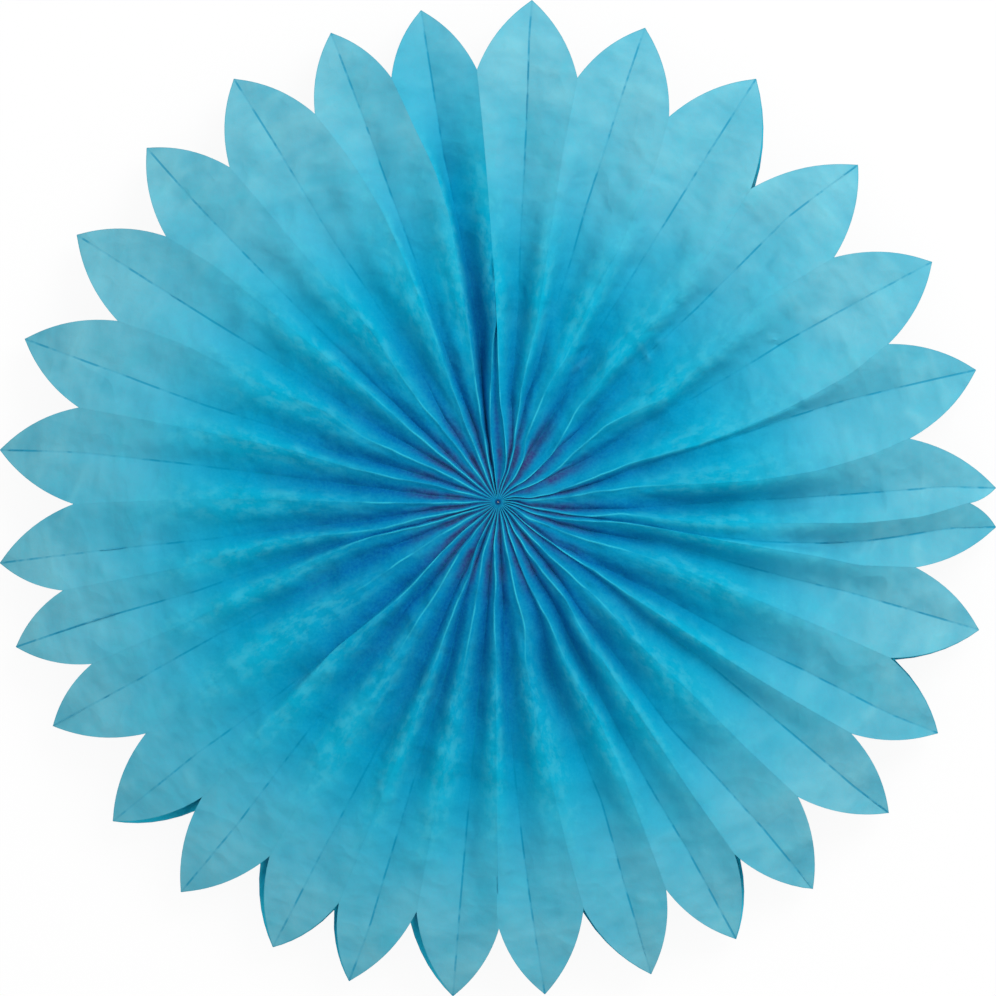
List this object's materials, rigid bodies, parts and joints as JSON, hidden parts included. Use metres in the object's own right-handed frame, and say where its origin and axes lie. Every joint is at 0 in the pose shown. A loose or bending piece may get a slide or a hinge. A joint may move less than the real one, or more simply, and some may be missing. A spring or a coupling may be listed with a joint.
{
  "type": "paper fan rosette",
  "caption": "Round tissue paper fan rosette with pointed petals, for hanging or laying flat as a decoration.",
  "frame": {"origin": "on the hub's axis, in the plane of the back ridges that it lies on", "axes": "+Z along the hub's axis out of the front face; +X to the right and +Y up as the front is seen"},
  "size_m": [0.406, 0.406, 0.044],
  "materials": {
    "tissue_leaves": "matte dyed tissue paper",
    "closing_tape": "matte paper tape",
    "binding_thread": "fine twisted thread"
  },
  "bodies": {
    "root": {"petal_01": "tissue_leaves", "petal_02": "tissue_leaves", "petal_03": "tissue_leaves", "petal_04": "tissue_leaves", "petal_05": "tissue_leaves", "petal_06": "tissue_leaves", "petal_07": "tissue_leaves", "petal_08": "tissue_leaves", "petal_09": "tissue_leaves", "petal_10": "tissue_leaves", "petal_11": "tissue_leaves", "petal_12": "tissue_leaves", "petal_13": "tissue_leaves", "petal_14": "tissue_leaves", "petal_15": "tissue_leaves", "petal_16": "tissue_leaves", "petal_17": "tissue_leaves", "petal_18": "tissue_leaves", "petal_19": "tissue_leaves", "petal_20": "tissue_leaves", "petal_21": "tissue_leaves", "petal_22": "tissue_leaves", "petal_23": "tissue_leaves", "petal_24": "tissue_leaves", "petal_25": "tissue_leaves", "petal_26": "tissue_leaves", "petal_27": "tissue_leaves", "petal_28": "tissue_leaves", "petal_29": "tissue_leaves", "petal_30": "tissue_leaves", "seam_tape_front": "closing_tape", "seam_tape_back": "closing_tape", "binding_thread": "binding_thread"}
  },
  "joints": []
}
